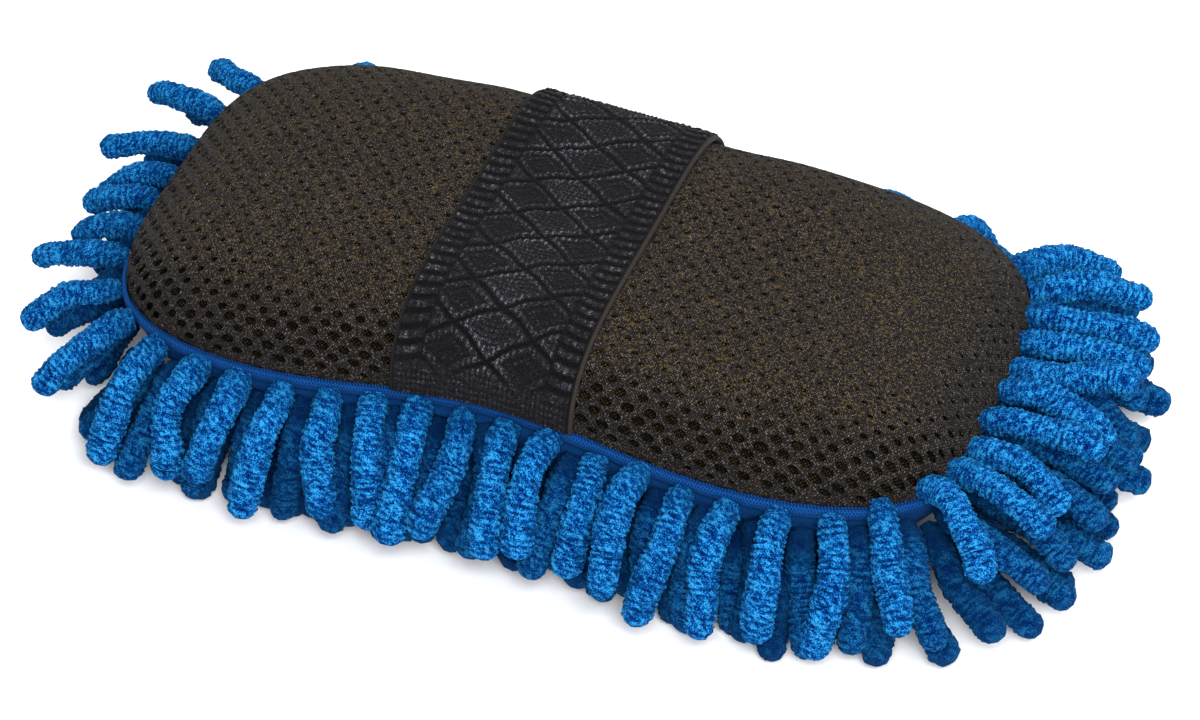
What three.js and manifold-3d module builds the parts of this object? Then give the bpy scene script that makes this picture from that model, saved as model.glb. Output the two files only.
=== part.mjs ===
// Car wash mitt: a foam pad in an air-mesh cover, edged and soled with chenille fingers, with an
// elastic strap over its crown for the hand. Millimetres, +Z up. The mitt rests on z = 0 and the
// middle of its sole is over the origin; X runs along its length and -Y is its front.
import * as THREE from 'three';
import { ParametricGeometry } from 'three/addons/geometries/ParametricGeometry.js';
import { mergeVertices } from 'three/addons/utils/BufferGeometryUtils.js';
import Module from 'manifold-3d';

// ---- Pad ----
const padHalfLength = 116;      // middle of the pad to the seam at either end
const padHalfWidth = 59;        // middle of the pad to the seam at the front and back
const outlinePower = 4.2;       // 2 would make the seam outline an ellipse, more squares its corners
const seamHeight = 36;          // seam above the surface, at the ends
const crownRiseLeft = 29;       // crown above the seam, left of the strap
const crownRiseRight = 25;      // the same, right of the strap
const coverThickness = 3;       // air mesh
const baseThickness = 1.5;      // knitted base fabric
const weltHeight = 3;           // knitted strip that shows under the air mesh
const weltThickness = 2;
const gap = 0.35;               // clearance between pieces that touch

// ---- Hand strap ----
const strapWidth = 50;
const strapThickness = 2.2;
const strapCentre = -4;         // along X
const strapPull = 7;            // how far the strap lifts the long seams
const strapPinch = 5;           // and how far it draws them in
const strapReach = 45;          // how far along X the pull fades out
const crownDip = 2;             // how deep the strap sinks into the crown
const tabHeight = 4;            // sewn end of the strap, above the welt

// ---- Chenille ----
const fingerDiameter = 8.8;
const fingerLength = 36;
const fingerCount = 54;         // fingers in one row round the pad
const tapeThickness = 2.2;      // base yarn that a row of fingers stands on
const soleTapeHeight = 1.3;     // the same yarn under the pad, above the pressed fingers
const soleTapeWidth = 6.6;
const soleRows = 4;
const pressedFlat = 0.5;        // how much of a sole finger the mitt's weight flattens
const soleMargin = 22.9;        // middle of the last sole finger to the seam at the end
const soleEdge = 12.02;         // outermost sole fingers to the seams at the front and back
const soleTipGap = 2.64;        // tip of a sole finger to the row after the next
// The base fabric's underside is as high as a sole finger, its base yarn and their clearances.
const soleClearance = fingerDiameter + soleTapeHeight + 2 * gap;

const aroundPad = 32;           // facets round the pad
const crownLevels = [0, 0.5, 0.75, 0.9, 0.97, 1];    // share of the way from the crown to the seam
const soleLevels = [0, 0.6, 0.85, 0.94, 0.985, 1];   // the same, from the sole's middle
const up = new THREE.Vector3(0, 0, 1);

const wasm = await Module();
wasm.setup();

// ---- Joining and cutting ----
function solidOf(geometry) {
  const bare = new THREE.BufferGeometry();
  bare.setAttribute('position', geometry.getAttribute('position'));
  bare.setIndex(geometry.index);
  const merged = mergeVertices(bare, 1e-4);
  const corners = merged.index.array;
  const kept = [];
  for (let i = 0; i < corners.length; i += 3) {
    const [a, b, c] = corners.subarray(i, i + 3);
    if (a !== b && b !== c && c !== a) kept.push(a, b, c);
  }
  const build = (triVerts) => new wasm.Manifold(new wasm.Mesh({
    numProp: 3,
    vertProperties: merged.getAttribute('position').array,
    triVerts: new Uint32Array(triVerts),
  }));
  const made = build(kept);
  return made.volume() > 0 ? made : build(kept.reverse());
}

function geometryOf(solid) {
  const { vertProperties, triVerts } = solid.getMesh();
  const geometry = new THREE.BufferGeometry();
  geometry.setAttribute('position', new THREE.BufferAttribute(vertProperties, 3));
  geometry.setIndex(new THREE.BufferAttribute(triVerts, 1));
  geometry.computeVertexNormals();
  return geometry;
}

const blend = THREE.MathUtils.lerp;
const ramp = THREE.MathUtils.smoothstep;
const degrees = THREE.MathUtils.degToRad;

// ---- The pad's outline and skin ----
// How strongly the strap pulls at a place along X: 1 under it, 0 far from it.
const strapGrip = (x) => Math.exp(-(((x - strapCentre) / strapReach) ** 2));

const outline = new THREE.CatmullRomCurve3(
  Array.from({ length: 72 }, (_, i) => {
    const turn = (i / 72) * 2 * Math.PI;
    const way = Math.atan2(padHalfWidth * Math.sin(turn), padHalfLength * Math.cos(turn));
    const radius = (Math.abs(Math.cos(way) / padHalfLength) ** outlinePower
      + Math.abs(Math.sin(way) / padHalfWidth) ** outlinePower) ** (-1 / outlinePower);
    const x = radius * Math.cos(way);
    const y = radius * Math.sin(way);
    return new THREE.Vector3(x, y * (1 - (strapPinch / padHalfWidth) * strapGrip(x)), 0);
  }),
  true,
);
outline.arcLengthDivisions = 720;

const outwards = (u) => {
  const along = outline.getTangentAt(u);
  return new THREE.Vector3(along.y, -along.x, 0);
};
const seamRise = (x, y) => strapPull * strapGrip(x) * (y / padHalfWidth) ** 2;
const crownRise = (x) => blend(crownRiseLeft, crownRiseRight, ramp(x - strapCentre, -40, 40))
  - crownDip * strapGrip(x);

// A point of the pad's skin: share is 1 at the seam and 0 over the middle, inset goes inwards, and
// side is 1 on the crown, -1 on the sole and 0 on the seam itself.
function skinPoint(u, { share = 1, inset = 0, side = 0, lift = 0 }) {
  const place = outline.getPointAt(u).addScaledVector(outwards(u), -inset).multiplyScalar(share);
  const seam = seamHeight + seamRise(place.x, place.y);
  const crown = (crownRise(place.x) - inset) * (1 - share ** 3.7) ** (1 / 2.2);
  const sole = (seam - soleClearance - inset) * (1 - share ** 8) ** (1 / 2.2);
  place.z = seam + lift + (side > 0 ? crown : 0) - (side < 0 ? sole : 0);
  return place;
}

// A closed skin through rings that are given from its first pole or edge to its last.
function skin(rings) {
  const surface = new ParametricGeometry(
    (u, v, target) => target.copy(skinPoint(u % 1, rings[Math.round(v * (rings.length - 1))])),
    aroundPad,
    rings.length - 1,
  );
  return solidOf(surface);
}
const crownRings = (inset, lift = 0) =>
  crownLevels.map((share) => ({ share, inset, side: 1, lift }));
const soleRings = (inset, lift = 0) =>
  soleLevels.map((share) => ({ share, inset, side: -1, lift }));

// ---- Body of the pad ----
const halfGap = gap / 2;
const meshCover = skin([
  ...crownRings(0, halfGap),
  ...crownRings(coverThickness, halfGap).reverse(),
]);
const baseFabric = skin([
  ...soleRings(0, -halfGap),
  ...soleRings(baseThickness, -halfGap).reverse(),
]);
const foamCore = skin([
  ...crownRings(coverThickness + gap),
  ...soleRings(baseThickness + gap).reverse(),
]);
const roundPad = skin([...crownRings(-gap), ...soleRings(-gap).reverse()]);
const strip = (inner, outer, top, bottom) => skin([
  { inset: -inner, lift: top },
  { inset: -outer, lift: top },
  { inset: -outer, lift: bottom },
  { inset: -inner, lift: bottom },
  { inset: -inner, lift: top },
]);
const seamWelt = strip(gap, gap + weltThickness, 0, -weltHeight);
// The room that the welt takes, with its clearance.
const roundWelt = strip(gap - weltThickness, 2 * gap + weltThickness, weltHeight, -weltHeight - gap);

// ---- Hand strap: a band cut from a second skin over the crown ----
const overCover = skin([...crownRings(-gap), { side: -1, share: 0 }]);
const overStrap = skin([...crownRings(-gap - strapThickness), { side: -1, share: 0 }]);
function band(from, to) {
  const box = new THREE.BoxGeometry(strapWidth, 4 * padHalfWidth, to - from);
  box.translate(strapCentre, 0, (from + to) / 2);
  return overStrap.subtract(overCover).intersect(solidOf(box));
}
const tabFoot = seamHeight + strapPull + gap;
const tabHead = tabFoot + tabHeight;
const aboveStrap = seamHeight + crownRiseLeft + 4 * strapThickness;
const handStrap = band(tabHead + gap, aboveStrap);
const [strapTabFront, strapTabBack] = band(tabFoot, tabHead)
  .decompose()
  .sort((a, b) => a.boundingBox().min[1] - b.boundingBox().min[1]);

// ---- Chenille fingers ----
const fingerRadius = fingerDiameter / 2;
// Sole fingers lie between those of the next row, and end short of the next row but one.
const soleFingerPitch = 2 * (fingerDiameter + 2 * gap);
// The rows share the width of the sole.
const soleFingerLength = (2 * (padHalfWidth - soleEdge) - ((soleRows - 1) * soleTipGap) / 2)
  / (1 + (soleRows - 1) / 2);
const soleRowPitch = (soleFingerLength + soleTipGap) / 2;
const sectionOf = (radius) => new THREE.Shape(
  [0, 60, 120, 180, 240, 300].map((turn) => new THREE.Vector2(
    radius * Math.cos(degrees(turn)),
    (radius / Math.cos(degrees(30))) * Math.sin(degrees(turn)),
  )),
);
const fingerSection = sectionOf(fingerRadius);
const clearSection = sectionOf(fingerRadius + gap);

// A finger that leaves root along the first direction and ends along the last one.
function finger(root, first, last, length, section) {
  const bend = root.clone().addScaledVector(first, length / 2);
  const tip = bend.clone().addScaledVector(last, length / 2);
  return solidOf(new THREE.ExtrudeGeometry(section, {
    extrudePath: new THREE.QuadraticBezierCurve3(root, bend, tip),
    steps: 2,
    bevelEnabled: false,
  }));
}

// The base yarn of a row, through the given points.
function tape(points, height) {
  const section = new THREE.Shape([
    new THREE.Vector2(-tapeThickness / 2, -height / 2),
    new THREE.Vector2(tapeThickness / 2, -height / 2),
    new THREE.Vector2(tapeThickness / 2, height / 2),
    new THREE.Vector2(-tapeThickness / 2, height / 2),
  ]);
  return solidOf(new THREE.ExtrudeGeometry(section, {
    extrudePath: new THREE.CatmullRomCurve3(points),
    steps: points.length - 1,
    bevelEnabled: false,
  }));
}

// Rows round the pad. drop is how far below the seam a row's roots are, as a share of the wall.
// Angles are above the horizontal, where a finger leaves the pad and at its tip.
const rows = {
  upper: {
    share: 0.993,
    shift: 0,
    hang: { long: [-15, -72, 1], left: [16, -12, 1], right: [4, -32, 1] },
  },
  middle: {
    share: 0.94,
    shift: 0.5,
    hang: { long: [-66, -38, 0.42], left: [0, -10, 0.95], right: [-14, -24, 0.8] },
  },
  lower: {
    share: 0.865,
    shift: 0,
    onlyEnds: true,
    hang: { long: [-34, 0, 0.5], left: [-30, 0, 0.8], right: [-38, 0, 0.66] },
  },
};
const sides = {
  front: (way) => way.y < 0 && Math.abs(way.x) <= 0.7,
  back: (way) => way.y > 0 && Math.abs(way.x) <= 0.7,
  left: (way) => way.x < -0.7,
  right: (way) => way.x > 0.7,
};

function rowRoot(u, share) {
  const on = skinPoint(u, { share, side: -1 });
  const nearby = skinPoint(u, { share: share - 0.01, side: -1 });
  const across = new THREE.Vector3(-outwards(u).y, outwards(u).x, 0);
  const outOfWall = nearby.sub(on).cross(across).normalize();
  if (outOfWall.dot(outwards(u)) < 0) outOfWall.negate();
  return on.addScaledVector(outOfWall, gap + tapeThickness);
}

// The fingers of a row on one side of the pad, and where they stand.
function rowFingers({ share, shift, hang, onlyEnds }, inSide, section) {
  const roots = [];
  const solids = [];
  for (let i = 0; i < fingerCount; i += 1) {
    const u = (i + shift) / fingerCount;
    const way = outwards(u);
    if (!inSide(way) || (onlyEnds && Math.abs(way.x) < 0.9)) continue;
    const root = rowRoot(u, share);
    const toEnd = ramp(Math.abs(way.x), 0.3, 0.95);
    const end = way.x < 0 ? hang.left : hang.right;
    const [firstAngle, lastAngle, length] = hang.long.map((value, k) => blend(value, end[k], toEnd));
    const pointing = (angle) => way.clone()
      .multiplyScalar(Math.cos(degrees(angle)))
      .addScaledVector(up, Math.sin(degrees(angle)));
    roots.push({ u, root });
    solids.push(
      finger(root, pointing(firstAngle), pointing(lastAngle), length * fingerLength, section),
    );
  }
  return { roots, solids };
}

// A row on its base yarn, clear of the pad and of the rows above it.
function ringRow(row, inSide, rowsAbove) {
  const { roots, solids } = rowFingers(row, inSide, fingerSection);
  // The right end's row runs through u = 0, so its two halves are put in order.
  roots.sort((a, b) => ((a.u + 0.5) % 1) - ((b.u + 0.5) % 1));
  const ordered = inSide === sides.right ? roots : roots.sort((a, b) => a.u - b.u);
  solids.push(tape(ordered.map(({ root }) => root), 0.5 * fingerDiameter));
  return wasm.Manifold.union(solids)
    .subtract(roundPad)
    .subtract(roundWelt)
    .subtract(rowsAbove);
}

// A sole row: fingers that lie on the surface, side by side with those of the row in front.
function soleRow(index) {
  const rootY = ((soleRows - 1) * soleRowPitch + soleFingerLength) / 2 - index * soleRowPitch;
  const shift = index % 2 ? 0 : 0.5;
  const reach = Math.floor(padHalfLength / soleFingerPitch);
  const lying = fingerRadius - pressedFlat;
  const rootZ = soleClearance - gap - fingerRadius;
  const solids = [];
  const xs = [];
  for (let i = -reach; i <= reach; i += 1) {
    const x = (i + shift) * soleFingerPitch;
    const corner = Math.abs(x / padHalfLength) ** outlinePower
      + Math.max(Math.abs(rootY), Math.abs(rootY - soleFingerLength)) ** outlinePower
      / (padHalfWidth + 2) ** outlinePower;
    if (Math.abs(x) > padHalfLength - soleMargin || corner > 1) continue;
    const root = new THREE.Vector3(x, rootY, rootZ);
    const bend = new THREE.Vector3(x, rootY - soleFingerLength / 6, lying);
    const tip = new THREE.Vector3(x, rootY - soleFingerLength, lying);
    solids.push(solidOf(new THREE.ExtrudeGeometry(fingerSection, {
      extrudePath: new THREE.QuadraticBezierCurve3(root, bend, tip),
      steps: 2,
      bevelEnabled: false,
    })));
    xs.push(x);
  }
  const yarn = new THREE.BoxGeometry(xs.at(-1) - xs[0], soleTapeWidth, soleTapeHeight);
  yarn.translate(
    (xs.at(-1) + xs[0]) / 2,
    rootY - soleTapeWidth / 2,
    fingerDiameter + gap + soleTapeHeight / 2,
  );
  solids.push(solidOf(yarn));
  const surface = new THREE.BoxGeometry(4 * padHalfLength, 4 * padHalfWidth, fingerDiameter);
  surface.translate(0, 0, -fingerDiameter / 2);
  return wasm.Manifold.union(solids).subtract(solidOf(surface));
}

// ---- Materials ----
const finish = (color, roughness) =>
  new THREE.MeshStandardMaterial({ color, roughness, metalness: 0 });
const foam = finish(0xb08a2e, 0.95);
const airMesh = finish(0x2b2828, 0.8);
const elastic = finish(0x1e1e24, 0.75);
const chenille = finish(0x0f5cba, 0.95);
const knit = finish(0x0b4fae, 0.85);

// ---- Assembly ----
const mitt = new THREE.Group();
function place(name, solid, material) {
  const piece = new THREE.Mesh(geometryOf(solid), material);
  piece.name = name;
  mitt.add(piece);
}
place('foam_core', foamCore, foam);
place('mesh_cover', meshCover, airMesh);
place('base_fabric', baseFabric, knit);
place('seam_welt', seamWelt, knit);
place('hand_strap', handStrap, elastic);
place('strap_tab_front', strapTabFront, elastic);
place('strap_tab_back', strapTabBack, elastic);
const clearance = [];
for (const [level, row] of Object.entries(rows)) {
  const rowsAbove = wasm.Manifold.union(clearance);
  for (const [side, inSide] of Object.entries(sides)) {
    const atEnd = side === 'left' || side === 'right';
    if (row.onlyEnds && !atEnd) continue;
    place(`chenille_${level}_${side}`, ringRow(row, inSide, rowsAbove), chenille);
  }
  clearance.push(...rowFingers(row, () => true, clearSection).solids);
}
for (let index = 0; index < soleRows; index += 1) {
  place(`chenille_sole_${index + 1}`, soleRow(index), chenille);
}

export default mitt;
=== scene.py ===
import math
from collections import namedtuple
from functools import partial

import bmesh
import bpy
import numpy as np
from mathutils import Matrix, Vector
from mathutils.bvhtree import BVHTree


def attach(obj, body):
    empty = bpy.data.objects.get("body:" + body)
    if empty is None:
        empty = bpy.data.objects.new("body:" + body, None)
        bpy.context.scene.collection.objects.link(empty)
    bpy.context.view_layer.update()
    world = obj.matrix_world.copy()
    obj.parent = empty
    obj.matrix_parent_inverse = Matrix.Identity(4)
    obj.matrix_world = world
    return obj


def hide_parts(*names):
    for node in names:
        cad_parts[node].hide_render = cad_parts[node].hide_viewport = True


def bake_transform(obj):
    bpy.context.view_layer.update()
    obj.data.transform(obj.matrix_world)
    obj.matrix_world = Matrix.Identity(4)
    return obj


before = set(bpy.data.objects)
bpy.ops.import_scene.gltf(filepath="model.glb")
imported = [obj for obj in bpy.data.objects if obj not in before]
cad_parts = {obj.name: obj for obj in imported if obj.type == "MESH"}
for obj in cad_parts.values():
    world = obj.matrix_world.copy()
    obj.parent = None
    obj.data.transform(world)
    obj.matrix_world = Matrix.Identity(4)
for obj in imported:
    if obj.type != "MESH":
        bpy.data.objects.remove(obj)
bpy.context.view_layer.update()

MM = 0.001
dice = np.random.default_rng(41)

# ---- Sizes in millimetres ----
# The pad and its strap, the same as the solids'.
HALF_LENGTH = 116
HALF_WIDTH = 59
OUTLINE_POWER = 4.2
SEAM_HEIGHT = 36
CROWN_RISE_LEFT = 29
CROWN_RISE_RIGHT = 25
# The crown and the wall under the seam are rounded boxes in section; these are their powers.
CROWN_POWER = 3.7
WALL_POWER = 8
ROUND_POWER = 2.2
SOLE_CLEARANCE = 10.8
BASE_THICKNESS = 1.5
WELT_HEIGHT = 3
WELT_THICKNESS = 2
GAP = 0.35
STRAP_WIDTH = 50
STRAP_THICKNESS = 2.2
STRAP_CENTRE = -4
STRAP_PULL = 7
STRAP_PINCH = 5
STRAP_REACH = 45
CROWN_DIP = 2
FINGER_DIAMETER = 8.8
FINGER_LENGTH = 36
SOLE_ROWS = 4
SOLE_TIP_GAP = 2.64

# Air mesh: its holes' spacing along a row and from row to row, and half of a hole's two lengths.
MESH_PITCH = 5.9
MESH_ROW = 3.05
HOLE_LONG = 1.75
HOLE_SHORT = 1.25
MESH_DEPTH = 0.85
HOLE_SMALLEST = 0.54
HOLE_GROWTH = 0.48
HOLE_VARIATION = 0.08
HOLE_WANDER = 0.16

# Hand strap: its ribbed borders, the lozenges between them and the round of its selvedge.
BORDER = 8.0
RIB_PITCH = 3.35
LOZENGE_WIDTH = 21.0
LOZENGE_STEP = 13.2
BEAD = 1.5
YARN = 1.3
SELVEDGE = 1.0
RELIEF_HEIGHT = 1.2
RELIEF_ALLOWANCE = 0.55
STRAP_LIFT = 0.35
PLAIN_END = (5, 12)

# Chenille: how far apart its pile is drawn, along a finger and round it, and its rings of tufts.
PILE_STEP = 0.45
PILE_ROUND = 36
RING_GAP = (1.15, 1.75)
# Its core's thickness and its pile's, as shares of a finger's radius, and the same at its root.
CORE = 0.79
PILE = 0.18
ROOT = 0.72
FINGER_WANDER = 0.8
ROOT_SHADE = (1, 11)
FINGER_PITCH = 12.2

SEAM_LENGTH = 660


# ---- Shape of the pad ----
def soft_step(x, start, end):
    """0 up to start, 1 from end on, and a smooth rise between them."""
    t = np.clip((x - start) / (end - start), 0, 1)
    return t * t * (3 - 2 * t)


def strap_grip(x):
    """How strongly the strap pulls at x: 1 under it, 0 far from it."""
    return np.exp(-((x - STRAP_CENTRE) / STRAP_REACH) ** 2)


def pinch(x):
    """The pad's share of its full width at x, narrower where the strap pulls its sides in."""
    return 1 - STRAP_PINCH / HALF_WIDTH * strap_grip(x)


def seam_y(x):
    share = np.clip(1 - np.abs(x / HALF_LENGTH) ** OUTLINE_POWER, 0, 1)
    return HALF_WIDTH * share ** (1 / OUTLINE_POWER) * pinch(x)


def share_at(x, y):
    """0 over the middle of the pad and 1 at its seam."""
    along = np.abs(x / HALF_LENGTH) ** OUTLINE_POWER
    across = np.abs(y / (HALF_WIDTH * pinch(x))) ** OUTLINE_POWER
    return np.clip(along + across, 0, 1) ** (1 / OUTLINE_POWER)


def seam_z(x, y):
    """Height of the seam, which the strap pulls up."""
    return SEAM_HEIGHT + STRAP_PULL * strap_grip(x) * (y / HALF_WIDTH) ** 2


def crown_z(x, y):
    rise = CROWN_RISE_LEFT + (CROWN_RISE_RIGHT - CROWN_RISE_LEFT) * soft_step(
        x - STRAP_CENTRE, -40, 40)
    rise = rise - CROWN_DIP * strap_grip(x)
    return seam_z(x, y) + rise * (1 - share_at(x, y) ** CROWN_POWER) ** (1 / ROUND_POWER)


def lengths(points):
    """Distance along a line of points, from its first one."""
    steps = np.linalg.norm(np.diff(points, axis=0), axis=1)
    return np.concatenate([[0], np.cumsum(steps)])


def spread_evenly(points, count):
    """The same line, with count points at equal distances."""
    far = lengths(points)
    even = np.linspace(0, far[-1], count)
    return np.stack([np.interp(even, far, points[:, k]) for k in range(3)], 1)


class Crown:
    """The cover's outer face as cloth: columns run front to back, evenly spaced over the crown."""

    def __init__(self, columns=201, rows=113):
        turn = np.linspace(-math.pi / 2, math.pi / 2, 1201)
        x = HALF_LENGTH * 0.99999 * np.sin(turn)
        ridge = np.stack([x, 0 * x, crown_z(x, 0 * x)], 1)
        self.reach = lengths(ridge)[-1]
        self.x = spread_evenly(ridge, columns)[:, 0]
        self.points = np.zeros((columns, rows, 3))
        self.half = np.zeros(columns)
        turn = np.linspace(-math.pi / 2, math.pi / 2, 361)
        for i, x in enumerate(self.x):
            y = seam_y(x) * np.sin(turn)
            line = np.stack([x + 0 * y, y, crown_z(x + 0 * y, y)], 1)
            self.half[i] = lengths(line)[-1] / 2
            self.points[i] = spread_evenly(line, rows)
        self.find_normals()

    def find_normals(self):
        along = np.gradient(self.points, axis=0)
        across = np.gradient(self.points, axis=1)
        normal = np.cross(along, across)
        self.normals = normal / np.linalg.norm(normal, axis=2, keepdims=True)

    def push(self, amount):
        """Moves each point outwards by its own amount, and finds the face's normals again."""
        self.points = self.points + self.normals * amount[..., None]
        self.find_normals()

    def column_at(self, x):
        return np.interp(x, self.x, np.arange(len(self.x)))

    def column_of(self, s):
        return (s / self.reach + 0.5) * (len(self.x) - 1)

    def half_at(self, column):
        return np.interp(column, np.arange(len(self.x)), self.half)

    def at(self, column, v):
        """Points and outward normals at fractional columns; v is -1 at the front seam, 1 at the back."""
        columns, rows = self.points.shape[:2]
        c = np.clip(column, 0, columns - 1.001)
        r = np.clip((v + 1) / 2 * (rows - 1), 0, rows - 1.001)
        i, j = c.astype(int), r.astype(int)
        a, b = (c - i)[..., None], (r - j)[..., None]

        def mixed(grid):
            return ((grid[i, j] * (1 - a) + grid[i + 1, j] * a) * (1 - b)
                    + (grid[i, j + 1] * (1 - a) + grid[i + 1, j + 1] * a) * b)

        normal = mixed(self.normals)
        return mixed(self.points), normal / np.linalg.norm(normal, axis=-1, keepdims=True)


def round_outline(count):
    """Even points along the seam from the right end, anticlockwise, with their outward directions."""
    turn = np.linspace(0, 2 * math.pi, 2881)
    way = np.arctan2(HALF_WIDTH * np.sin(turn), HALF_LENGTH * np.cos(turn))
    radius = (np.abs(np.cos(way) / HALF_LENGTH) ** OUTLINE_POWER
              + np.abs(np.sin(way) / HALF_WIDTH) ** OUTLINE_POWER) ** (-1 / OUTLINE_POWER)
    x = radius * np.cos(way)
    line = np.stack([x, radius * np.sin(way) * pinch(x), 0 * x], 1)
    points = spread_evenly(line, count + 1)[:-1]
    along = np.roll(points, -1, 0) - np.roll(points, 1, 0)
    out = np.stack([along[:, 1], -along[:, 0], 0 * along[:, 0]], 1)
    return points, out / np.linalg.norm(out, axis=1, keepdims=True)


def wall_z(x, y, share, inset):
    """Height of the base's face, this far inside it, at a share of the way out to the seam."""
    seam = seam_z(x, y)
    deep = seam - SOLE_CLEARANCE - inset
    return seam - deep * (1 - share ** WALL_POWER) ** (1 / ROUND_POWER)


def wall_points(points, out, share, inset):
    """A ring of points on the base's face, from the seam's points and their outward directions."""
    place = (points - out * inset) * share
    place[:, 2] = wall_z(place[:, 0], place[:, 1], share, inset)
    return place


# ---- Making pieces ----
def piece_of(name, points, faces, material, marks=None):
    """A piece from points in millimetres; marks are rows of numbers, one for each point."""
    mesh = bpy.data.meshes.new(name)
    mesh.from_pydata((np.asarray(points) * MM).tolist(), [], faces)
    for mark, values in (marks or {}).items():
        kept = mesh.attributes.new(mark, "FLOAT", "POINT")
        kept.data.foreach_set("value", np.concatenate([np.ravel(v) for v in values]).astype(
            np.float32))
    mesh.validate()
    mesh.polygons.foreach_set("use_smooth", [True] * len(mesh.polygons))
    mesh.materials.append(material)
    piece = bpy.data.objects.new(name, mesh)
    bpy.context.scene.collection.objects.link(piece)
    return piece


def tidy_mesh(piece, merge=0.00002):
    """Merges doubled points, clears what has no area and turns the faces outwards."""
    shape = bmesh.new()
    shape.from_mesh(piece.data)
    bmesh.ops.remove_doubles(shape, verts=shape.verts, dist=merge)
    bmesh.ops.dissolve_degenerate(shape, edges=shape.edges, dist=merge / 2)
    bmesh.ops.recalc_face_normals(shape, faces=shape.faces)
    shape.to_mesh(piece.data)
    shape.free()


def lattice_faces(rows, columns, around=False, closed=False, first=0):
    """Four-sided faces of a grid of points; around joins its last column to its first, and
    closed its last row to its first."""
    faces = []
    for i in range(rows if closed else rows - 1):
        for j in range(columns if around else columns - 1):
            k = (j + 1) % columns
            a, b = first + i * columns, first + (i + 1) % rows * columns
            faces.append((a + j, a + k, b + k, b + j))
    return faces


def closed_block(top, bottom):
    """Points and faces of the closed block between two grids of points."""
    m, n = top.shape[:2]
    count = m * n
    faces = lattice_faces(m, n) + [f[::-1] for f in lattice_faces(m, n, first=count)]
    rim = ([i * n for i in range(m)] + [(m - 1) * n + j for j in range(1, n)]
           + [i * n + n - 1 for i in range(m - 2, -1, -1)] + list(range(n - 2, 0, -1)))
    faces += [(a, b, b + count, a + count) for a, b in zip(rim, rim[1:] + rim[:1])]
    return np.concatenate([top.reshape(-1, 3), bottom.reshape(-1, 3)]), faces


# ---- Materials ----
def colour(code):
    """An sRGB hex colour as Blender's linear one."""
    parts = [int(code[i:i + 2], 16) / 255 for i in (1, 3, 5)]
    return [p / 12.92 if p <= 0.04045 else ((p + 0.055) / 1.055) ** 2.4 for p in parts] + [1]


def per_metre(size):
    """How many spots of a size in millimetres go into a metre, as a texture's scale."""
    return 1000 / size


def wave(size):
    """What turns millimetres into the angle of a wave that repeats at this size."""
    return 2 * math.pi / size


def add_node(tree, kind, inputs=(), out=0, stops=(), **settings):
    """One shader node, with its settings, values, links and colour stops; gives one output."""
    made = tree.nodes.new("ShaderNode" + kind)
    for name, value in settings.items():
        setattr(made, name, value)
    for name, value in inputs.items() if isinstance(inputs, dict) else enumerate(inputs):
        if isinstance(value, bpy.types.NodeSocket):
            tree.links.new(value, made.inputs[name])
        else:
            made.inputs[name].default_value = value
    if stops:
        points = made.color_ramp.elements
        while len(points) < len(stops):
            points.new(0.5)
        for point, (place, code) in zip(points, stops):
            point.position = place
            point.color = colour(code)
    return made.outputs[out]


def new_material(name, roughness, **fixed):
    """A material, its node tree and its shader; fixed are values of the shader's own sockets."""
    material = bpy.data.materials.new(name)
    material.use_nodes = True
    tree = material.node_tree
    shader = tree.nodes["Principled BSDF"]
    shader.inputs["Roughness"].default_value = roughness
    shader.inputs["IOR"].default_value = 1.5
    for socket, value in fixed.items():
        shader.inputs[socket.replace("_", " ")].default_value = value
    return material, tree, shader


def surface(tree, shader, body, height, depth, strength=0.8):
    """Gives a shader its colour, and a fine relief as deep as depth in millimetres."""
    relief = add_node(tree, "Bump", {"Height": height, "Distance": depth * MM,
                                     "Strength": strength}, out="Normal")
    tree.links.new(body, shader.inputs["Base Color"])
    tree.links.new(relief, shader.inputs["Normal"])


def slanting_threads(tree, along_gap, across_gap):
    """Two sets of threads that cross on the slant, from -1 between them to 1 along each."""
    add = partial(add_node, tree)
    along = add("Attribute", out="Fac", attribute_name="along")
    across = add("Attribute", out="Fac", attribute_name="across")
    lengthwise = add("Math", (along, wave(along_gap)), operation="MULTIPLY")
    crosswise = add("Math", (across, wave(across_gap)), operation="MULTIPLY")
    one = add("Math", (lengthwise, crosswise), operation="ADD")
    two = add("Math", (lengthwise, crosswise), operation="SUBTRACT")
    one = add("Math", (one,), operation="SINE")
    two = add("Math", (two,), operation="SINE")
    return add("Math", (one, two), operation="MAXIMUM")


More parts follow.
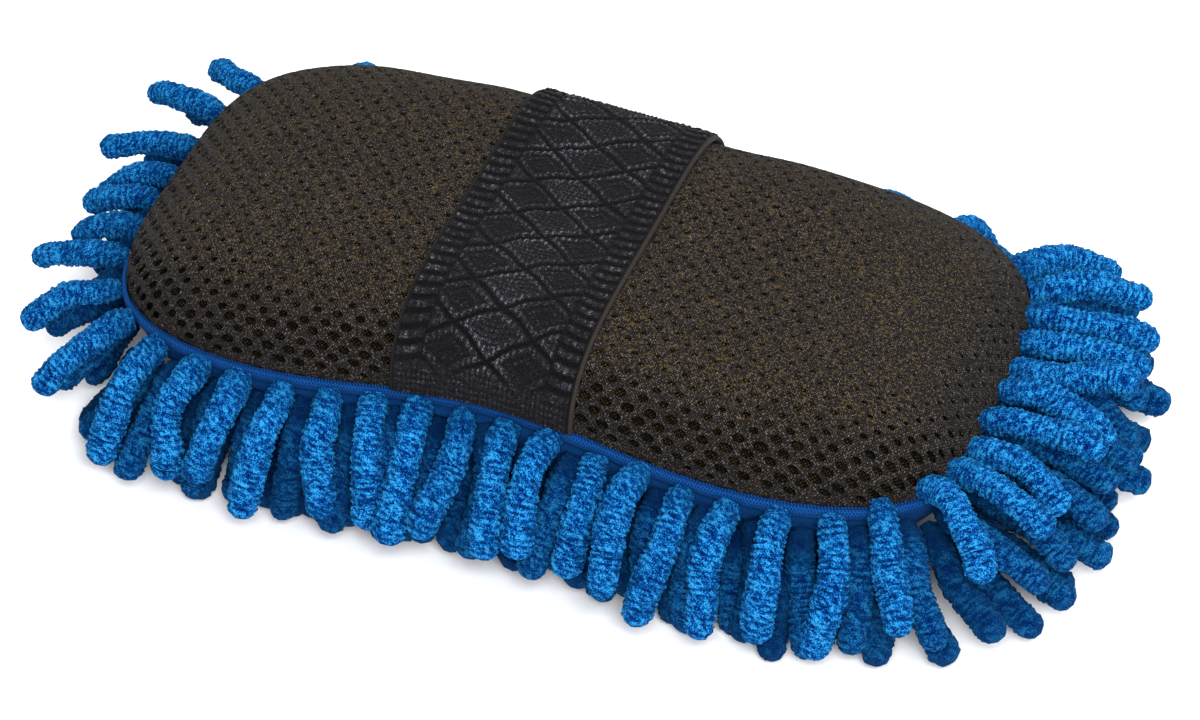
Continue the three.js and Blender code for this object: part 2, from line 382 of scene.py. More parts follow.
def chenille_pile():
    """Microfibre chenille: cut pile round a core, so it is soft, with light tips that are partly painted
    glints, and painted shade at its roots and in its lower rows.
    """
    material, tree, shader = new_material(
        "microfibre chenille pile", 0.95, Sheen_Weight=0.15, Sheen_Roughness=0.3,
        Sheen_Tint=colour("#3cb0ff"), Specular_IOR_Level=0.03)
    add = partial(add_node, tree)
    where = add("TexCoord", out="Object")
    tuft = add("Attribute", out="Fac", attribute_name="tuft")
    tone = add("Attribute", out="Fac", attribute_name="tone")
    fibres = add("TexNoise", {"Vector": where, "Scale": per_metre(0.42), "Roughness": 0.7},
                 out="Fac")
    clumps = add("TexNoise", {"Vector": where, "Scale": per_metre(3.0), "Detail": 1.0},
                 out="Fac")
    pile = add("Math", (fibres, 2.0, -0.70), operation="MULTIPLY_ADD")
    height = add("Math", (tuft, 0.5, pile), operation="MULTIPLY_ADD")
    uneven = add("Math", (clumps, 0.25, -0.17), operation="MULTIPLY_ADD")
    height = add("Math", (height, uneven), operation="ADD")
    # The ramp's dark end is painted shade in the grooves between the rings of tufts; its light end is
    # the pile's grain, partly painted glints.
    lit = add("ValToRGB", {"Fac": height}, out="Color", stops=[
        (0.12, "#000a35"), (0.40, "#00276a"), (0.62, "#00529f"), (0.86, "#2fa0e4")])
    # Painted shade: the per-point mark mixed in here, partly a random tone, darkens the roots and the
    # lower rows towards this navy.
    shaded_and_toned = add("Mix", {0: tone, 6: lit, 7: colour("#001a45")}, out=2, data_type="RGBA")
    surface(tree, shader, shaded_and_toned, height, 0.6, strength=1.0)
    return material


def knitted_base():
    """Weft-knitted polyester: fine columns of loops, a flat blue between the fingers."""
    material, tree, shader = new_material(
        "weft-knitted polyester base", 0.9, Sheen_Weight=0.08, Sheen_Roughness=0.5,
        Sheen_Tint=colour("#2fa4ff"), Specular_IOR_Level=0.12)
    add = partial(add_node, tree)
    # Loops 0.9 mm apart, coarser than the real 0.5 mm so that they show.
    loops = slanting_threads(tree, 0.9, 1.6)
    loops = add("Math", (loops, 0.35, 0.5), operation="MULTIPLY_ADD")
    where = add("TexCoord", out="Object")
    fuzz = add("TexNoise", {"Vector": where, "Scale": per_metre(0.7), "Detail": 3.0},
               out="Fac")
    fuzz = add("Math", (fuzz, 0.3), operation="MULTIPLY")
    height = add("Math", (loops, 0.7, fuzz), operation="MULTIPLY_ADD")
    body = add("ValToRGB", {"Fac": height}, out="Color", stops=[
        (0.25, "#00123a"), (0.5, "#00285e"), (0.8, "#064789")])
    surface(tree, shader, body, height, 0.4)
    return material


def air_mesh_knit():
    """Polyester air mesh: matt black filament loops, each bar of it lit along its top."""
    material, tree, shader = new_material(
        "black polyester air mesh", 0.8, Sheen_Weight=0.02, Sheen_Roughness=0.5,
        Specular_IOR_Level=0.07)
    add = partial(add_node, tree)
    where = add("TexCoord", out="Object")
    # Loops of filament, 0.75 mm apart.
    loops = slanting_threads(tree, 0.75, 0.75 / 0.8)
    loops = add("Math", (loops, 0.5, 0.5), operation="MULTIPLY_ADD")
    grain = add("TexNoise", {"Vector": where, "Scale": per_metre(0.5), "Detail": 3.0,
                             "Roughness": 0.6}, out="Fac")
    grain = add("Math", (grain, 1.2, -0.3), operation="MULTIPLY_ADD")
    height = add("Math", (loops, 0.4, grain), operation="MULTIPLY_ADD")
    body = add("ValToRGB", {"Fac": height}, out="Color", stops=[
        (0.20, "#020202"), (0.50, "#0b0a09"), (0.72, "#1f1b19"), (0.95, "#746a63")])
    # The foam's gold in the finest gaps between the loops, where the cover is stretched over it; towards
    # the seam, where the foam lies deeper, it fades out as painted shade.
    gaps = add("TexNoise", {"Vector": where, "Scale": per_metre(0.8), "Roughness": 0.6},
               out="Fac")
    gaps = add("Math", (gaps, 0.60), operation="GREATER_THAN")
    tight = add("Attribute", out="Fac", attribute_name="tight")
    tight = add("Math", (gaps, tight), operation="MULTIPLY")
    specked = add("Mix", {0: tight, 6: body, 7: colour("#4a3a18")}, out=2, data_type="RGBA")
    surface(tree, shader, specked, height, 0.35)
    return material


def foam_cells():
    """Open-cell polyurethane foam, gold and rough, with the mesh's black lower threads on it."""
    material, tree, shader = new_material(
        "open-cell polyurethane foam", 0.95, Specular_IOR_Level=0.05)
    add = partial(add_node, tree)
    where = add("TexCoord", out="Object")
    cells = add("TexVoronoi", {"Vector": where, "Scale": per_metre(1.1)}, out="Distance",
                feature="F1")
    gold = add("ValToRGB", {"Fac": cells}, out="Color", stops=[
        (0.0, "#171005"), (0.35, "#3c2c10"), (0.7, "#7d6230")])
    # Lower threads of the air mesh, 1.15 mm apart both ways.
    thread = slanting_threads(tree, 1.15, 1.15)
    wander = add("TexNoise", {"Vector": where, "Scale": per_metre(1.6)}, out="Fac")
    covered = add("Math", (thread, wander), operation="ADD")
    covered = add("Math", (covered, 0.50), operation="GREATER_THAN")
    netted = add("Mix", {0: covered, 6: gold, 7: colour("#0f0c0b")}, out=2, data_type="RGBA")
    shade = add("Attribute", out="Fac", attribute_name="shade")
    dark = add("Mix", {0: shade, 6: netted, 7: colour("#050405")}, out=2, data_type="RGBA")
    surface(tree, shader, dark, cells, 0.6)
    return material


def jacquard_elastic():
    """Jacquard elastic webbing: covered rubber and bulky black yarn, lit on its raised beads."""
    material, tree, shader = new_material(
        "black jacquard elastic", 0.75, Sheen_Weight=0.02, Sheen_Roughness=0.4,
        Specular_IOR_Level=0.1)
    add = partial(add_node, tree)
    raised = add("Attribute", out="Fac", attribute_name="raised")
    side = add("Attribute", out="Fac", attribute_name="side")
    # Fine weave between the raised yarns, 0.7 mm apart.
    threads = []
    for mark in ("along", "across"):
        thread = add("Attribute", out="Fac", attribute_name=mark)
        thread = add("Math", (thread, wave(0.7)), operation="MULTIPLY")
        threads.append(add("Math", (thread,), operation="SINE"))
    weave = add("Math", threads, operation="MULTIPLY")
    weave = add("Math", (weave, 0.5, 0.5), operation="MULTIPLY_ADD")
    where = add("TexCoord", out="Object")
    fibre = add("TexNoise", {"Vector": where, "Scale": per_metre(0.5), "Roughness": 0.6},
                out="Fac")
    fine = add("Math", (weave, 0.15), operation="MULTIPLY")
    height = add("Math", (raised, 0.6, fine), operation="MULTIPLY_ADD")
    grain = add("Math", (fibre, 1.2, -0.42), operation="MULTIPLY_ADD")
    height = add("Math", (height, grain), operation="ADD")
    body = add("ValToRGB", {"Fac": height}, out="Color", stops=[
        (0.18, "#010101"), (0.42, "#08070a"), (0.68, "#1b191e"), (1.0, "#6b6872")])
    edged = add("Mix", {0: side, 6: body, 7: colour("#2b2623")}, out=2, data_type="RGBA")
    relief = add("Math", (weave, fibre), operation="ADD")
    surface(tree, shader, edged, relief, 0.3)
    return material


CHENILLE = chenille_pile()
KNIT = knitted_base()
AIR_MESH = air_mesh_knit()
FOAM = foam_cells()
ELASTIC = jacquard_elastic()


# ---- The pad's crown, pumped up against its strap ----
# How far inside the crown the empty cover starts, how deep the pad is under its seam, and the
# part of its swelling that is kept.
SLACK = 2.5
PAD_DEPTH = 12
SWELL_FLOOR = 0.6
SWELL_KEPT = 0.8
CLOTH_FRAMES = 20
PRESSURE = 4
VOXEL = 5
RAY_START = 14
MOST_SWELL = 5.0
SMOOTHINGS = 30


def filled_pad(pad):
    """Blows a pad up like a cushion that its strap and seams hold; gives it before and after."""
    for thing in bpy.context.selected_objects:
        thing.select_set(False)
    bpy.context.view_layer.objects.active = pad
    pad.select_set(True)
    voxels = pad.modifiers.new("voxels", "REMESH")
    voxels.mode = "VOXEL"
    voxels.voxel_size = VOXEL * MM
    bpy.ops.object.modifier_apply(modifier="voxels")
    held = pad.vertex_groups.new(name="held")
    for vertex in pad.data.vertices:
        x, y, z = (c / MM for c in vertex.co)
        under_strap = 1 - soft_step(abs(x - STRAP_CENTRE), 19, 27)
        low = 1 - soft_step(z - seam_z(x, y), 2, 9)
        held.add([vertex.index], float(max(under_strap, low)), "REPLACE")
    before = BVHTree.FromObject(pad, bpy.context.evaluated_depsgraph_get())
    cloth = pad.modifiers.new("cloth", "CLOTH")
    cloth.settings.use_pressure = True
    cloth.settings.uniform_pressure_force = PRESSURE
    cloth.settings.effector_weights.gravity = 0
    cloth.settings.vertex_group_mass = "held"
    cloth.settings.quality = 5
    cloth.point_cache.frame_start = 1
    cloth.point_cache.frame_end = CLOTH_FRAMES
    for count in range(1, CLOTH_FRAMES + 1):
        bpy.context.scene.frame_set(count)
    bpy.ops.object.modifier_apply(modifier="cloth")
    bpy.context.scene.frame_set(1)
    return before, BVHTree.FromObject(pad, bpy.context.evaluated_depsgraph_get())


def swelling(crown):
    """How far the filled cover moves out at each of the crown's points."""
    columns, rows = crown.points.shape[:2]
    grid = (crown.points - crown.normals * SLACK)[::3, ::4]
    under = grid.copy()
    under[..., 2] = SEAM_HEIGHT - PAD_DEPTH
    under[:, 1:-1, 0:2] *= 0.97
    pad = piece_of("pad_being_filled", *closed_block(grid, under), FOAM)
    tidy_mesh(pad, 0.0002)
    before, after = filled_pad(pad)
    moved = np.zeros((columns, rows))
    for i in range(columns):
        for j in range(0, rows, 2):
            way = Vector(crown.normals[i, j])
            origin = Vector(crown.points[i, j] * MM) - way * RAY_START * MM
            old = before.ray_cast(origin, way)
            new = after.ray_cast(origin, way)
            if old[0] is not None and new[0] is not None:
                moved[i, j] = min(MOST_SWELL, (new[3] - old[3]) / MM)
    bpy.data.objects.remove(pad)
    moved[:, 1::2] = (moved[:, 0:-1:2] + moved[:, 2::2]) / 2
    for _ in range(SMOOTHINGS):
        edged = np.pad(moved, 1, mode="edge")
        moved = (edged[:-2, 1:-1] + edged[2:, 1:-1] + edged[1:-1, :-2] + edged[1:-1, 2:]) / 4
    return moved


crown = Crown()
swell = swelling(crown)
share = share_at(crown.points[..., 0], crown.points[..., 1])
crown.push((swell - swell.max() * SWELL_FLOOR) * (1 - soft_step(share, 0.93, 1.0))
           * SWELL_KEPT)
# The cover has broad, uneven dimples, half a millimetre deep.
DIMPLE = 0.55
wave_x, wave_y = crown.points[..., 0], crown.points[..., 1]
ripple = (0.5 * np.sin(wave_x / 11 + 0.8 * np.sin(wave_y / 17)) * np.sin(wave_y / 13 + 1.1)
          + 0.35 * np.sin(wave_x / 6.3 + wave_y / 9.1 + 2))
steady = 1 - soft_step(share_at(wave_x, wave_y), 0.85, 0.99)
off_strap = soft_step(np.abs(wave_x - STRAP_CENTRE), 25, 40)
crown.push(DIMPLE * ripple * steady * off_strap)


def hole_centres(s_reach):
    """Where the mesh's holes are on the flat cloth, in staggered rows that cover the crown."""
    centres = []
    for row in range(-60, 61):
        t = row * MESH_ROW
        for k in range(-25, 26):
            s = (k + (row % 2) / 2) * MESH_PITCH
            near = np.clip(s + np.array([-0.5, 0, 0.5]) * MESH_PITCH, -s_reach, s_reach)
            widest = crown.half_at(crown.column_of(near)).max()
            if abs(s) <= s_reach + MESH_PITCH / 2 and abs(t) <= widest + MESH_ROW:
                centres.append((s, t))
    return np.array(centres)


def mesh_cover():
    """Air mesh: one diamond of cloth to each hole, the holes in staggered rows."""
    sides = 8
    s_reach = crown.reach / 2
    centres = hole_centres(s_reach)
    count = len(centres)
    # Near the seam the cloth has no whole holes; what lies past it is gathered onto it.
    margin = crown.half_at(crown.column_of(centres[:, 0])) - np.abs(centres[:, 1])
    margin = np.minimum(margin, s_reach - np.abs(centres[:, 0]))
    opened = margin > 1.7
    near_seam = 1 - soft_step(margin, 10, 26)
    size = soft_step(margin, 1.0, 3.0) * (HOLE_SMALLEST + HOLE_GROWTH * near_seam)
    # The cloth is pulled tight round the right end, which all but shuts its holes.
    size = size * (1 - 0.5 * soft_step(centres[:, 0], 55, 95)
                   * soft_step(centres[:, 1], -45, -15))
    size = size * (1 + dice.normal(0, HOLE_VARIATION, count))
    turn = np.arange(sides) * 2 * math.pi / sides
    # Corners and the middles of the sides of a diamond, whose far corners are one pitch apart.
    reach = np.where(np.arange(sides) % 2 == 0, 1.0, 0.5 * math.sqrt(2))
    outer = np.stack([np.cos(turn) * reach * MESH_PITCH / 2, np.sin(turn) * reach * MESH_ROW], 1)
    hole = np.stack([np.cos(turn) * HOLE_LONG, np.sin(turn) * HOLE_SHORT], 1)
    uneven = dice.normal(0, HOLE_WANDER, (count, 1, 2)) * opened[:, None, None]
    own = centres[:, None, :] + uneven + hole[None] * size[:, None, None]
    edges = centres[:, None, :] + outer[None]
    _, first, shared = np.unique(np.round(edges.reshape(-1, 2) * 50).astype(int), axis=0,
                                 return_index=True, return_inverse=True)
    corners = edges.reshape(-1, 2)[first]
    shared = shared.reshape(count, sides)
    # Levels: the bars' top, the rim of the hole, its lower rim; and the middle of a closed cell.
    mid = edges * 0.35 + own * 0.65
    levels = [(corners, 0.02), (corners, -MESH_DEPTH), (mid.reshape(-1, 2), 0.20),
              (own.reshape(-1, 2), -0.10), (own.reshape(-1, 2), -MESH_DEPTH),
              (centres, 0.05), (centres, -MESH_DEPTH)]
    places = np.concatenate([level[0] for level in levels])
    heights = np.concatenate([np.full(len(level[0]), level[1]) for level in levels])
    starts = np.cumsum([0] + [len(level[0]) for level in levels]).tolist()
    column = crown.column_of(places[:, 0])
    half = np.maximum(crown.half_at(column), 0.001)
    on, normal = crown.at(column, np.clip(places[:, 1] / half, -1, 1))
    points = on + normal * heights[:, None]
    faces, used, low = [], {}, starts[1]
    for cell in range(count):
        for k in range(sides):
            m = (k + 1) % sides
            a, b = int(shared[cell, k]), int(shared[cell, m])
            low_a, low_b = a + low, b + low
            c, d = (starts[2] + cell * sides + x for x in (k, m))
            if opened[cell]:
                e, f = (starts[3] + cell * sides + x for x in (k, m))
                g, h = (starts[4] + cell * sides + x for x in (k, m))
                faces += [(a, b, d, c), (c, d, f, e), (e, f, h, g), (g, h, low_b, low_a)]
            else:
                faces += [(a, b, d, c), (c, d, starts[5] + cell),
                          (low_b, low_a, starts[6] + cell)]
            used[(min(a, b), max(a, b))] = used.get((min(a, b), max(a, b)), 0) + 1
    # The cloth's cut edge, where a diamond's side has no neighbour.
    faces += [(a, b, b + low, a + low) for (a, b), times in used.items() if times == 1]
    kept = sorted({k for face in faces for k in face})
    renumbered = {k: i for i, k in enumerate(kept)}
    faces = [tuple(renumbered[k] for k in face) for face in faces]
    to_seam = np.minimum(half - np.abs(places[:, 1]), s_reach - np.abs(places[:, 0]))
    # The foam's gold shows in the gaps only away from the seam; its fading out near the seam is painted
    # shade.
    cover = piece_of("mesh_cover_knit", points[kept], faces, AIR_MESH, {
        "along": [places[kept, 0]], "across": [places[kept, 1]],
        "tight": [0.8 * soft_step(to_seam, 12, 30)[kept]]})
    tidy_mesh(cover, 0.00003)
    return cover


# The foam: how far it lies under the cover, on the crown and in the hollow along the seam, and
# its clearance inside the seam and the base.
FOAM_UNDER = 1.05
FOAM_HOLLOW = 2.6
FOAM_IN = 0.016
FOAM_LOW_WIDTH = 0.965
FOAM_SPREAD = 1.035
FOAM_CLEARANCE = 0.6
FOAM_LEAST = 2


def foam_core():
    """The foam block; near the seams it falls away from the cover and is painted darker as shade, so the
    holes look dark there.
    """
    columns, rows = 131, 91
    c, v = np.meshgrid(np.linspace(0, len(crown.x) - 1, columns), np.linspace(-1, 1, rows),
                       indexing="ij")
    on, normal = crown.at(c, v)
    share = share_at(on[..., 0], on[..., 1])
    hollow = soft_step(share, 0.72, 0.93)
    under_cover = FOAM_UNDER + FOAM_HOLLOW * hollow * (1 - soft_step(share, 0.93, 1.0))
    top = on - normal * under_cover[..., None]
    shrink = 1 - FOAM_IN * soft_step(share, 0.9, 1.0)
    top[..., :2] *= shrink[..., None]
    top[..., 2] = np.maximum(top[..., 2], seam_z(on[..., 0], on[..., 1]) - 1)
    # Its underside follows the base's inner face, a little clear of it.
    bottom = top.copy()
    bottom[..., :2] *= FOAM_LOW_WIDTH
    x, y = bottom[..., 0], bottom[..., 1]
    low_share = np.clip(share_at(x, y) * FOAM_SPREAD, 0, 1)
    under = wall_z(x, y, low_share, BASE_THICKNESS + GAP + FOAM_CLEARANCE)
    bottom[..., 2] = np.minimum(under, top[..., 2] - FOAM_LEAST)
    s = (c / (len(crown.x) - 1) - 0.5) * crown.reach
    t = v * crown.half_at(c)
    # shade: painted shade in the hollow along the seam.
    marks = {"along": [s, s], "across": [t, t], "shade": [hollow * 0.75, hollow * 0.75]}
    foam = piece_of("foam_block", *closed_block(top, bottom), FOAM, marks)
    tidy_mesh(foam)
    return foam


def base_fabric():
    """The knitted tray that the fingers are sewn to: outside wall and sole, and back inside."""
    around = 192
    line, out = round_outline(around)
    shares = [1, 0.997, 0.99, 0.975, 0.95, 0.91, 0.85, 0.76, 0.62, 0.45, 0.28, 0.12, 0.004]
    rings, marks_along, marks_across = [], [], []
    far = np.linspace(0, SEAM_LENGTH, around)
    for inset, order in ((0, shares), (BASE_THICKNESS, shares[::-1])):
        for share in order:
            rings.append(wall_points(line, out, share, inset))
            marks_along.append(far * share)
            marks_across.append(np.full(around, (1 - share) * 90))
    points = np.concatenate(rings)
    points[:, 2] -= 0.2
    faces = lattice_faces(len(rings), around, around=True, closed=True)
    base = piece_of("base_knit", points, faces, KNIT,
                    {"along": marks_along, "across": marks_across})
    tidy_mesh(base)
    return base


def seam_welt():
    """The rounded strip of knit under the mesh's edge."""
    around = 400
    line, out = round_outline(around)
    turn = np.linspace(0, 2 * math.pi, 13)[:-1]
    half = WELT_HEIGHT / 2
    rings, along, across = [], [], []
    far = np.arange(around) * SEAM_LENGTH / around
    for angle in turn:
        outward = 0.3 + WELT_THICKNESS * 0.35 * (1 + np.sign(math.cos(angle)) * (
            abs(math.cos(angle)) ** 0.6))
        up = -half - 0.5 + math.sin(angle) * half * 1.05
        ring = line + out * outward
        ring[:, 2] = seam_z(ring[:, 0], ring[:, 1]) + up + 0.1
        rings.append(ring)
        along.append(far)
        across.append(np.full(around, angle * 1.2))
    faces = lattice_faces(len(rings), around, around=True, closed=True)
    welt = piece_of("welt_knit", np.concatenate(rings), faces, KNIT,
                    {"along": along, "across": across})
    tidy_mesh(welt)
    return welt


# ---- Hand strap ----
def beads(distance, width):
    """A round cord: 1 along its middle and 0 from half its width on."""
    return np.sqrt(np.clip(1 - (distance / (width / 2)) ** 2, 0, 1))


def strap_relief(across, along, fade):
    """Height of the woven pattern, 0 to 1; fade is 1 where it has run out into plain weave."""
    inner = STRAP_WIDTH / 2 - BORDER
    # Bulky yarn never lies quite straight.
    w = across + 0.45 * np.sin(along / 4.1 + 1.3 * np.sin(across / 5.3)) + 0.25 * np.sin(
        along / 1.9 + across / 2.3)
    far = along + 0.5 * np.sin(across / 5.1 + along / 9.7) + 0.3 * np.sin(across / 1.7 + 2)
    # Borders: bars across the strap, each a row of beads with a dark gap to the next.
    in_border = soft_step(np.abs(across), inner - 0.3, inner + 0.3)
    bar = np.abs((far / RIB_PITCH) % 1 - 0.5) * 2
    rib = soft_step(bar, 0.30, 0.62) * (0.74 + 0.16 * np.cos(w * wave(2.1)))
    rib = rib * (0.85 + 0.15 * np.sin(w * 0.9 + far * 0.7))
    # Field: crossing cords that make lozenges, plain in the middle and nested at the sides.
    u, v = w / LOZENGE_WIDTH, far / LOZENGE_STEP
    one, two = u + v, u - v
    scale = 1 / math.hypot(1 / LOZENGE_WIDTH, 1 / LOZENGE_STEP)
    from_one = np.abs(one - np.round(one)) * scale
    from_two = np.abs(two - np.round(two)) * scale
    inside = np.minimum(from_one, from_two)
    nested = (np.floor(one) + np.floor(two) + 1) % 2 == 1
    beading = 0.78 + 0.22 * np.cos(w * wave(BEAD))
    cord = beads(inside - 1.35, 1.9) * beading
    dots = 0.6 + 0.4 * np.cos(w * wave(1.9)) * np.cos(far * wave(1.7))
    second = beads(inside - 3.5, 1.7) * dots * 0.85
    core = 0.8 * soft_step(inside, 4.7, 5.4) * dots
    weave = 0.52 + 0.12 * np.cos(w * wave(YARN)) + 0.12 * np.cos(far * wave(YARN))
    flat = weave * soft_step(inside, 0.7, 1.4)
    within = np.maximum(np.maximum(second, core), 0.3 * soft_step(inside, 0.7, 1.4))
    field = np.maximum(cord, np.where(nested, within, flat))
    woven = rib * in_border + field * (1 - in_border)
    groove = 1 - 0.8 * np.exp(-((np.abs(across) - inner) / 0.4) ** 2)
    worn = 0.82 + 0.18 * np.sin(across / 3.7 + 1.9 * np.sin(along / 7.1)) * np.sin(along / 5.9 + 1)
    # Near the front seam the pattern runs out into a plain weave.
    plain = 0.42 + 0.12 * np.cos(across * wave(YARN)) + 0.1 * np.cos(along * wave(1.6))
    return woven * groove * worn * (1 - fade) + plain * fade


def hand_strap():
    """The elastic band over the crown, with rounded selvedges and its pattern as real relief."""
    half = STRAP_WIDTH / 2
    edge = half - SELVEDGE
    body = STRAP_THICKNESS - RELIEF_ALLOWANCE
    along_count = 441
    turn = np.linspace(0, math.pi, 9)[1:-1]
    # Cross-section, from the left end of the top to the right, round the edge and back below.
    places = [(x, 1.0, 0.0) for x in np.linspace(-edge, edge, 125)]
    places += [(edge + SELVEDGE * math.sin(a), 0.5 + 0.5 * math.cos(a), 1.0) for a in turn]
    places += [(x, 0.0, 1.0) for x in np.linspace(edge, -edge, 25)]
    places += [(-edge - SELVEDGE * math.sin(a), 0.5 - 0.5 * math.cos(a), 1.0) for a in turn]
    w, level, side = np.array(places).T
    v = np.linspace(-1, 1, along_count)
    ww, vv = np.meshgrid(w, v, indexing="xy")
    column = crown.column_at(STRAP_CENTRE + ww)
    on, normal = crown.at(column, vv * 0.999)
    middle = crown.half_at(crown.column_at(STRAP_CENTRE))
    far = vv * middle
    fade = 1 - soft_step(far + middle, *PLAIN_END)
    top = 1.0 - side[None, :]
    edge_fade = soft_step(edge - np.abs(ww), 0, 0.8)
    relief = strap_relief(ww, far, fade) * edge_fade * top
    lift = GAP + STRAP_LIFT + body * level[None, :] + RELIEF_HEIGHT * relief
    # Its ends turn down into the seams.
    tucked = soft_step(np.abs(vv), 0.985, 1.0)
    lift = lift * (1 - 0.25 * tucked)
    points = on + normal * lift[..., None]
    points[..., 2] = np.maximum(points[..., 2], seam_z(on[..., 0], on[..., 1]) + GAP)
    count = len(w)
    faces = lattice_faces(along_count, count, around=True)
    faces.append(tuple(range(count)))
    faces.append(tuple(range((along_count - 1) * count, along_count * count))[::-1])
    strap = piece_of("strap_webbing", points.reshape(-1, 3), faces, ELASTIC, {
        "raised": relief, "side": side * np.where(ww > 0, 1.0, 0.3), "along": far, "across": ww})
    tidy_mesh(strap, 0.000005)
    return strap, middle


# ---- Chenille fingers ----
def finger(root, first, last, length, detail, thin=1.0):
    """A chenille finger that leaves its root one way and ends another, as points, faces, tuft
    heights and how near its root each point is; thin is its share of the full thickness."""
    root, first, last = (np.asarray(a, float) for a in (root, first, last))
    first = first / np.linalg.norm(first)
    last = last / np.linalg.norm(last)
    bend = root + first * length / 2
    tip = bend + last * length / 2
    t = np.linspace(0, 1, 60)[:, None]
    path = (1 - t) ** 2 * root + 2 * t * (1 - t) * bend + t ** 2 * tip
    wander = dice.normal(0, 1, (2, 3)) * FINGER_WANDER
    path += np.sin(t * math.pi * 1.5) * wander[0] + np.sin(t * math.pi * 3) * wander[1] * 0.5
    radius = FINGER_DIAMETER / 2 * thin
    # What would go below the surface under the mitt is laid along it.
    lowest, easing = radius * 0.86, 3
    eased = lowest + easing * np.exp((path[:, 2] - lowest - easing) / easing)
    path[:, 2] = np.where(path[:, 2] < lowest + easing, eased, path[:, 2])
    steps = max(14, int(length / (PILE_STEP / detail)))
    path = spread_evenly(path, steps)
    far = lengths(path)
    along = np.gradient(path, axis=0)
    along /= np.linalg.norm(along, axis=1, keepdims=True)
    aside = np.cross(along, (0.13, 0.31, 0.94))
    aside /= np.linalg.norm(aside, axis=1, keepdims=True)
    over = np.cross(along, aside)
    segments = max(10, int(PILE_ROUND * detail))
    turn = np.linspace(0, 2 * math.pi, segments + 1)[:-1]
    # Tufts stand in rings 1.2 to 1.7 mm apart, about eight to a ring.
    marks = np.concatenate([[0], np.cumsum(dice.uniform(*RING_GAP, 60))])
    ring = np.interp(far, marks, np.arange(61))
    ring_number = np.round(ring).astype(int)
    twist = dice.uniform(0, 2 * math.pi, 80)[ring_number]
    lobes = dice.integers(6, 10, 80)[ring_number]
    ridge = np.cos((ring - ring_number) * math.pi)[:, None]
    around_ring = 0.5 + 0.5 * np.cos(lobes[:, None] * turn[None, :] + twist[:, None])
    loose = dice.random((steps, segments))
    loose = (loose + np.roll(loose, 1, 1) * 0.6 + np.roll(loose, 1, 0) * 0.5) / 2.1
    tuft = ridge * (0.7 + 0.3 * around_ring) * 0.55 + (loose - 0.5) * 1.7 + 0.35
    tuft = np.clip(tuft, -0.1, 1.4)
    end = np.clip((far[-1] - far) / (radius * 0.9), 0, 1)
    start = np.clip(far / 3.0, 0, 1)
    profile = np.sqrt(1 - (1 - end) ** 2) * (ROOT + (1 - ROOT) * start)
    swell = 1 + 0.07 * np.sin(far / 5.3 + dice.uniform(0, 6))
    thick = (radius * profile * swell)[:, None] * (CORE + PILE * tuft)
    points = (path[:, None] + aside[:, None] * (np.cos(turn)[None, :, None] * thick[..., None])
              + over[:, None] * (np.sin(turn)[None, :, None] * thick[..., None]))
    points[..., 2] = np.maximum(points[..., 2], 0.15 + 0.1 * tuft)
    points = points.reshape(-1, 3)
    ends = np.array([path[0], path[-1] + along[-1] * 0.2])
    first_end, last_end = len(points), len(points) + 1
    last_ring = (steps - 1) * segments
    faces = [f[::-1] for f in lattice_faces(steps, segments, around=True)]
    for k in range(segments):
        m = (k + 1) % segments
        faces.append((first_end, m, k))
        faces.append((last_end, last_ring + k, last_ring + m))
    near_root = np.repeat(1 - soft_step(far, *ROOT_SHADE), segments)
    return (np.concatenate([points, ends]), faces, np.concatenate([tuft.ravel(), [0.2, 0.8]]),
            np.concatenate([near_root, [1, 0]]))


def chenille_piece(name, fingers):
    """One row of fingers as one piece; each finger's tone, which carries painted shade, is darker
    towards its root.
    """
    points, faces, tufts, shades_and_tones, first = [], [], [], [], 0
    for on, sides, tuft, near_root, tone in fingers:
        points.append(on)
        faces += [tuple(k + first for k in f) for f in sides]
        tufts.append(tuft)
        # Painted shade at the roots, where the pile lies in the shade of the other fingers.
        shades_and_tones.append(np.clip(tone + 0.4 * near_root, 0, 1))
        first += len(on)
    return piece_of(name, np.concatenate(points), faces, CHENILLE, {"tuft": tufts, "tone": shades_and_tones})


# How a finger leaves the wall and how it ends, in degrees up from level, and its share of the
# full length.
Hang = namedtuple("Hang", "leaves ends share")
# Rows of fingers round the pad: how far under the seam and out from it they are sewn on, where
# they stand between those of the row above, how finely they are made, how dark they are painted,
# which is painted shade from the rows above, and how they hang at the long sides, the left end and
# the right end.
Row = namedtuple("Row", "under out shift detail tone long left right")
ROWS = {
    "upper": Row(2.4, 2.0, 0.0, 1.0, 0.02,
                 Hang(-28, -68, 1.02), Hang(4, -46, 0.80), Hang(18, -32, 1.0)),
    "middle": Row(7.0, 1.2, 0.5, 0.9, 0.70,
                  Hang(-46, -62, 0.93), Hang(-34, -48, 0.72), Hang(2, -30, 1.0)),
    "lower": Row(12.5, 0.4, 0.1, 0.7, 0.84,
                 Hang(-60, -50, 0.84), Hang(-60, -30, 0.6), Hang(-16, -22, 1.05)),
    "lowest": Row(18.0, 0.0, 0.6, 0.6, 0.88,
                  Hang(-55, -15, 0.7), Hang(-40, -5, 0.7), Hang(-28, -10, 1.0)),
}
# How much closer fingers stand round the ends, and where those at the right end's top are sewn on.
CLOSER_RIGHT = 2.4
CLOSER_LEFT = 0.4
OVER_EDGE_IN = 2.5
OVER_EDGE_UP = 4.5
# How much thinner fingers look at either end, and how many degrees higher the proud ones are.
THINNER_LEFT = 0.17
THINNER_RIGHT = 0.07
PROUD_FIRST = 22
PROUD_LAST = 34


